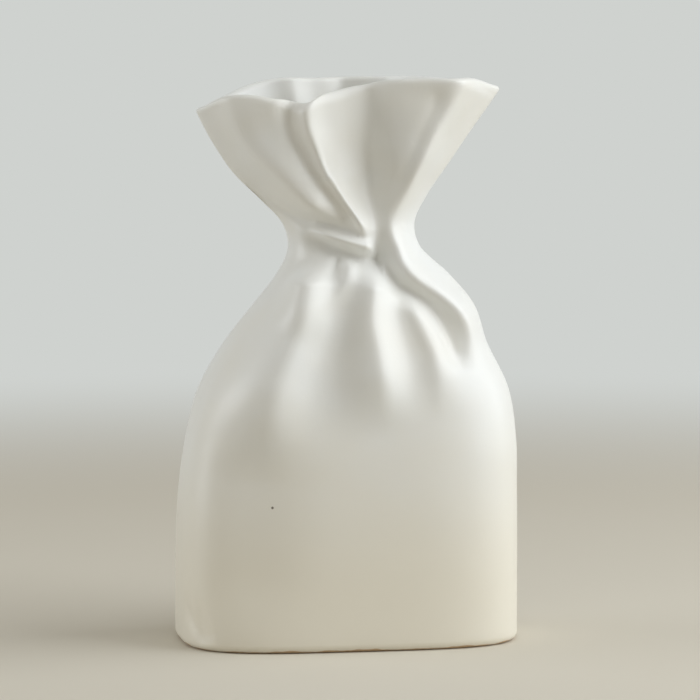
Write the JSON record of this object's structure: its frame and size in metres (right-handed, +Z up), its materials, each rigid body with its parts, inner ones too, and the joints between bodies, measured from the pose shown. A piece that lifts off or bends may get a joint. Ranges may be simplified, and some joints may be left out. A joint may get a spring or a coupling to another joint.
{
  "type": "pillow vase",
  "caption": "White ceramic vase shaped like a full sack gathered at the neck, with folds at the neck, an uneven flared mouth and a flat oblong base.",
  "frame": {"origin": "bottom centre of the vase, on the surface that it stands on", "axes": "+Z up through the mouth, -Y towards the front with the knot of folds, +X to the right seen from the front"},
  "size_m": [0.1629, 0.1018, 0.27],
  "materials": {
    "white_glazed_ceramic": "satin white glaze"
  },
  "bodies": {
    "root": {"vase_body": "white_glazed_ceramic"}
  },
  "joints": []
}
